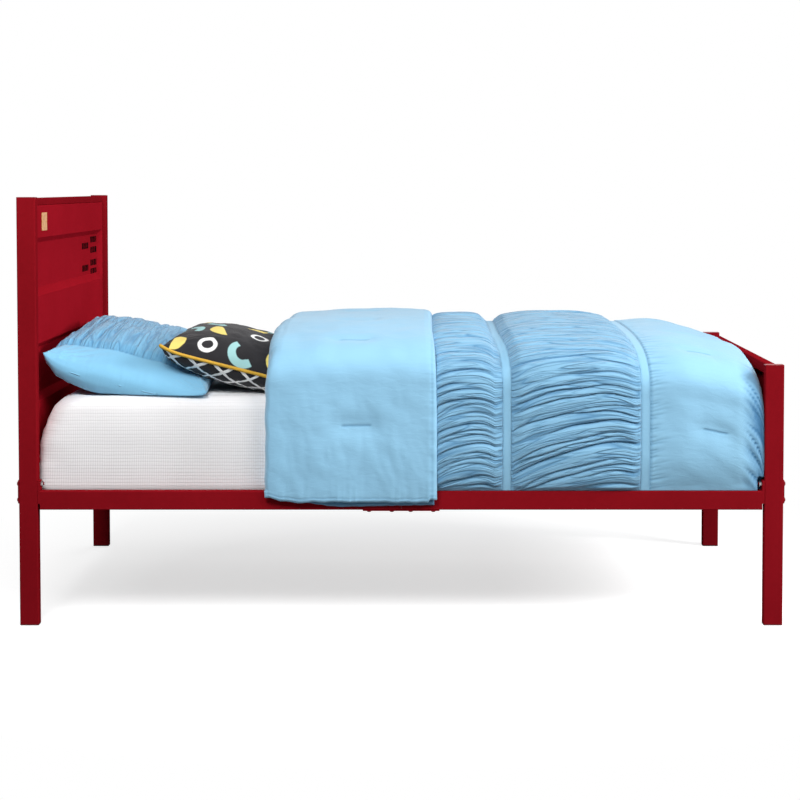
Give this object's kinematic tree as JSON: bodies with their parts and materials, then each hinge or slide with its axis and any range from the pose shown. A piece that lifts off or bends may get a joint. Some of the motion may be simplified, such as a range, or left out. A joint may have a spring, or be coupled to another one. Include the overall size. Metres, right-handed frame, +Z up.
{
  "type": "single bed",
  "caption": "Single bed with a pressed steel headboard, low footboard, straight legs, mattress, ruched comforter and cushions.",
  "frame": {"origin": "on the floor under the middle of the bed", "axes": "+X along the bed from the headboard to the footboard, +Y to the left of a person lying in it, +Z up"},
  "size_m": [2.0448, 1.1264, 1.14],
  "materials": {
    "red_powder_coat": "satin",
    "red_cap": "satin",
    "glide_black": "matte",
    "red_bolt": "satin",
    "zinc_steel": "satin",
    "white_waffle": "matte",
    "blue_comforter": "matte",
    "blue_pillow": "matte",
    "print_cotton": "matte"
  },
  "bodies": {
    "root": {"comforter": "blue_comforter", "corner_bolts": "red_bolt", "corner_nuts": "zinc_steel", "corner_plate_foot_left": "red_powder_coat", "corner_plate_foot_right": "red_powder_coat", "corner_plate_head_left": "red_powder_coat", "corner_plate_head_right": "red_powder_coat", "cushion_print": "print_cotton", "end_plate_foot_left": "red_powder_coat", "end_plate_foot_right": "red_powder_coat", "end_plate_head_left": "red_powder_coat", "end_plate_head_right": "red_powder_coat", "footboard_cap_left": "red_cap", "footboard_cap_right": "red_cap", "footboard_deck_rail": "red_powder_coat", "footboard_glide_left": "glide_black", "footboard_glide_right": "glide_black", "footboard_panel": "red_powder_coat", "footboard_post_left": "red_powder_coat", "footboard_post_right": "red_powder_coat", "footboard_top_rail": "red_powder_coat", "headboard_bottom_rail": "red_powder_coat", "headboard_cap_left": "red_cap", "headboard_cap_right": "red_cap", "headboard_deck_rail": "red_powder_coat", "headboard_glide_left": "glide_black", "headboard_glide_right": "glide_black", "headboard_panel": "red_powder_coat", "headboard_post_left": "red_powder_coat", "headboard_post_right": "red_powder_coat", "headboard_top_rail": "red_powder_coat", "joining_bolts": "red_bolt", "joining_nuts": "zinc_steel", "joining_plate_left": "red_powder_coat", "joining_plate_right": "red_powder_coat", "mattress": "white_waffle", "pillow_blue": "blue_pillow", "side_rail_foot_left": "red_powder_coat", "side_rail_foot_right": "red_powder_coat", "side_rail_head_left": "red_powder_coat", "side_rail_head_right": "red_powder_coat", "slat_01": "red_powder_coat", "slat_02": "red_powder_coat", "slat_03": "red_powder_coat", "slat_04": "red_powder_coat", "slat_05": "red_powder_coat", "slat_06": "red_powder_coat", "slat_07": "red_powder_coat", "slat_08": "red_powder_coat", "slat_09": "red_powder_coat", "slat_10": "red_powder_coat", "slat_11": "red_powder_coat", "slat_12": "red_powder_coat", "slat_ledge_foot_left": "red_powder_coat", "slat_ledge_foot_right": "red_powder_coat", "slat_ledge_head_left": "red_powder_coat", "slat_ledge_head_right": "red_powder_coat", "slat_screws": "zinc_steel"}
  },
  "joints": []
}
